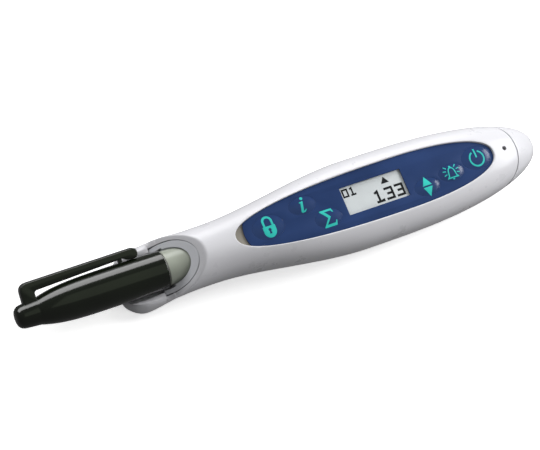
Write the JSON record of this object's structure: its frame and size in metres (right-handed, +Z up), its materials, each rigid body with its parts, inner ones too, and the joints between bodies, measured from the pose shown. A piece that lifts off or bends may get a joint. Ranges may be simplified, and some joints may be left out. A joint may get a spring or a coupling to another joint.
{
  "type": "colony counter pen",
  "caption": "Hand-held colony counter: a capped felt marker in a sprung holder inside a white shell, with a display and membrane keys, that counts each mark pressed onto a dish.",
  "frame": {"origin": "bottom centre of the box around the part, on the belly's resting plane", "axes": "+X along the marker towards the battery end, +Z up out of the key panel, +Y towards the side that carries the cap's clip"},
  "size_m": [0.2, 0.032, 0.0221],
  "materials": {
    "white_shell": "gloss",
    "holder_white": "satin",
    "bearing_plastic": "satin",
    "steel": "bright",
    "black_rubber": "matte",
    "dark_plastic": "satin",
    "red_plastic": "satin",
    "barrel_grey": "gloss",
    "felt": "matte",
    "cap_black": "gloss",
    "frame_beige": "satin",
    "panel_blue": "satin",
    "window_clear": "gloss",
    "display_grey": "satin",
    "connector_rubber": "matte",
    "board_green": "satin",
    "brass_disc": "satin",
    "cell_jacket": "gloss"
  },
  "bodies": {
    "housing": {"upper_housing": "white_shell", "lower_housing": "white_shell", "guide_bush": "bearing_plastic", "housing_screws": "steel", "return_spring": "steel", "count_switch": "dark_plastic", "key_frame": "frame_beige", "key_overlay": "panel_blue", "display_window": "window_clear", "display_glass": "display_grey", "display_connectors": "connector_rubber", "main_board": "board_green", "board_screws": "steel", "dome_contacts": "steel", "controller_chip": "dark_plastic", "sounder": "brass_disc", "battery_cell": "cell_jacket", "positive_contact": "steel", "negative_strip": "steel"},
    "carriage": {"pen_holder": "holder_white", "retaining_ring": "steel", "grip_ring": "black_rubber", "switch_plunger": "red_plastic"},
    "marker": {"marker_barrel": "barrel_grey", "barrel_plug": "barrel_grey", "nib_section": "barrel_grey", "marker_nib": "felt", "ink_reservoir": "felt"},
    "cap": {"marker_cap": "cap_black"},
    "battery_door": {"end_cap": "white_shell", "contact_spring": "steel"},
    "lock_button": {"lock_key": "panel_blue"},
    "info_button": {"info_key": "panel_blue"},
    "total_button": {"total_key": "panel_blue"},
    "scroll_button": {"scroll_key": "panel_blue"},
    "tone_button": {"tone_key": "panel_blue"},
    "power_button": {"power_key": "panel_blue"}
  },
  "joints": [
    {"name": "count_stroke", "type": "slide", "parent": "housing", "child": "carriage", "axis": [1, 0, 0], "range_m": [0, 0.0012], "stiffness_N_per_m": 800, "springref_m": -0.001, "deforming": ["return_spring"]},
    {"name": "marker_pull", "type": "slide", "parent": "carriage", "child": "marker", "axis": [-1, 0, 0], "range_m": [0, 0.1]},
    {"name": "cap_pull", "type": "slide", "parent": "marker", "child": "cap", "axis": [-1, 0, 0], "range_m": [0, 0.06]},
    {"name": "battery_door_pull", "type": "slide", "parent": "housing", "child": "battery_door", "axis": [1, 0, 0], "range_m": [0, 0.02]},
    {"name": "lock_press", "type": "slide", "parent": "housing", "child": "lock_button", "axis": [0, 0, -1], "range_m": [0, 0.0004], "stiffness_N_per_m": 2000},
    {"name": "info_press", "type": "slide", "parent": "housing", "child": "info_button", "axis": [0, 0, -1], "range_m": [0, 0.0004], "stiffness_N_per_m": 2000},
    {"name": "total_press", "type": "slide", "parent": "housing", "child": "total_button", "axis": [0, 0, -1], "range_m": [0, 0.0004], "stiffness_N_per_m": 2000},
    {"name": "scroll_press", "type": "slide", "parent": "housing", "child": "scroll_button", "axis": [0, 0, -1], "range_m": [0, 0.0004], "stiffness_N_per_m": 2000},
    {"name": "tone_press", "type": "slide", "parent": "housing", "child": "tone_button", "axis": [0, 0, -1], "range_m": [0, 0.0004], "stiffness_N_per_m": 2000},
    {"name": "power_press", "type": "slide", "parent": "housing", "child": "power_button", "axis": [0, 0, -1], "range_m": [0, 0.0004], "stiffness_N_per_m": 2000}
  ]
}
